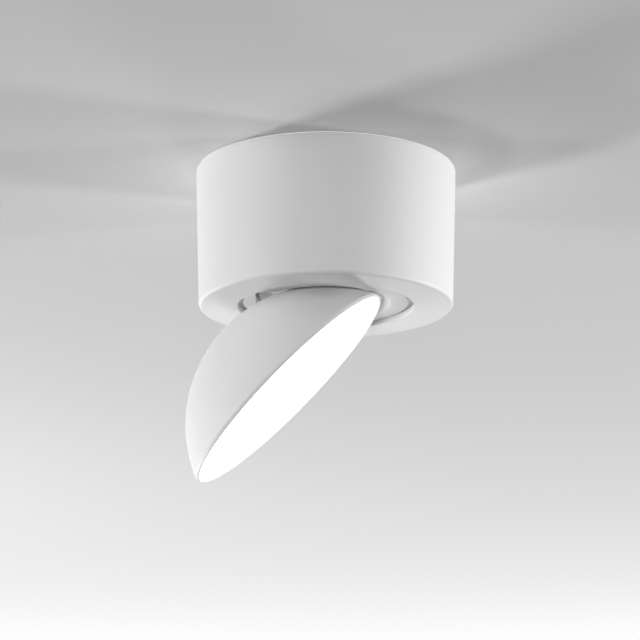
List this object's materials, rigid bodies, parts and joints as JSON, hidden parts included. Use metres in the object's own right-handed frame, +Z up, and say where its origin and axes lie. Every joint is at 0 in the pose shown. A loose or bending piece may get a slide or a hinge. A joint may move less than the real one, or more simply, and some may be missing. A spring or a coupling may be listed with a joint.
{
  "type": "surface mounted ceiling spotlight",
  "caption": "Round white surface mounted ceiling spotlight with a shallow dome head that turns and tilts out of the housing's underside, lit by a flat opal disc.",
  "frame": {"origin": "centre of the two ceiling fixing slots, on the plate's upper face, which lies in the ceiling plane z = 0", "axes": "+Z up into the ceiling, +X the way the tilted head faces at rest, +Y to the housing's locking screw; the housing hangs down along -Z"},
  "size_m": [0.1236, 0.12, 0.1449],
  "materials": {
    "housing_paint": "matt white powder coat",
    "turntable_paint": "matt white powder coat",
    "head_paint": "matt white powder coat",
    "zinc_sheet": "zinc plated sheet",
    "spring_steel": "dark spring steel",
    "screw_steel": "zinc plated screws",
    "pin_steel": "ground pin",
    "brass_screws": "plain brass",
    "arm_metal": "white coated",
    "sink_metal": "as extruded",
    "black_rubber": "matt",
    "driver_plastic": "fine textured",
    "terminal_plastic": "plain",
    "sliding_plastic": "natural acetal",
    "liner_plastic": "plain",
    "board_white": "white lacquered board",
    "chip_yellow": "phosphor",
    "reflector_white": "matt white",
    "opal_diffuser": "opal acrylic, lit from inside"
  },
  "bodies": {
    "base": {"housing_shell": "housing_paint", "mounting_plate": "zinc_sheet", "cable_grommet": "black_rubber", "earth_screw": "brass_screws", "lock_screw": "screw_steel", "driver_tray": "zinc_sheet", "tray_screws": "screw_steel", "lead_bush": "black_rubber", "driver_case": "driver_plastic", "driver_lid": "driver_plastic", "terminal_block": "terminal_plastic", "terminal_screws": "brass_screws", "carrier_screws": "screw_steel", "slip_ring": "sliding_plastic", "spring_washer": "spring_steel", "retainer_ring": "zinc_sheet", "retainer_screws": "screw_steel", "pan_stop_pin": "screw_steel"},
    "turntable": {"turntable": "turntable_paint", "guide_cheek_near": "zinc_sheet", "guide_cheek_far": "zinc_sheet", "cheek_screws": "screw_steel"},
    "head": {"head_shell": "head_paint", "tilt_arm": "arm_metal", "arm_screws": "screw_steel", "carriage": "arm_metal", "carriage_screws": "screw_steel", "guide_pins": "pin_steel", "pin_clips": "spring_steel", "slot_bushes": "sliding_plastic", "friction_liners": "liner_plastic", "heat_sink": "sink_metal", "heat_sink_screws": "screw_steel", "led_board": "board_white", "led_chips": "chip_yellow", "board_screws": "screw_steel", "mixing_tray": "reflector_white", "diffuser_gasket": "black_rubber", "diffuser": "opal_diffuser"}
  },
  "joints": [
    {"name": "pan", "type": "hinge", "parent": "base", "child": "turntable", "pos_m": [0, 0, -0.06], "axis": [0, 0, 1], "range_deg": [-175, 175]},
    {"name": "tilt", "type": "hinge", "parent": "turntable", "child": "head", "pos_m": [0, 0, -0.1198], "axis": [0, 1, 0], "range_deg": [0, 45]}
  ]
}
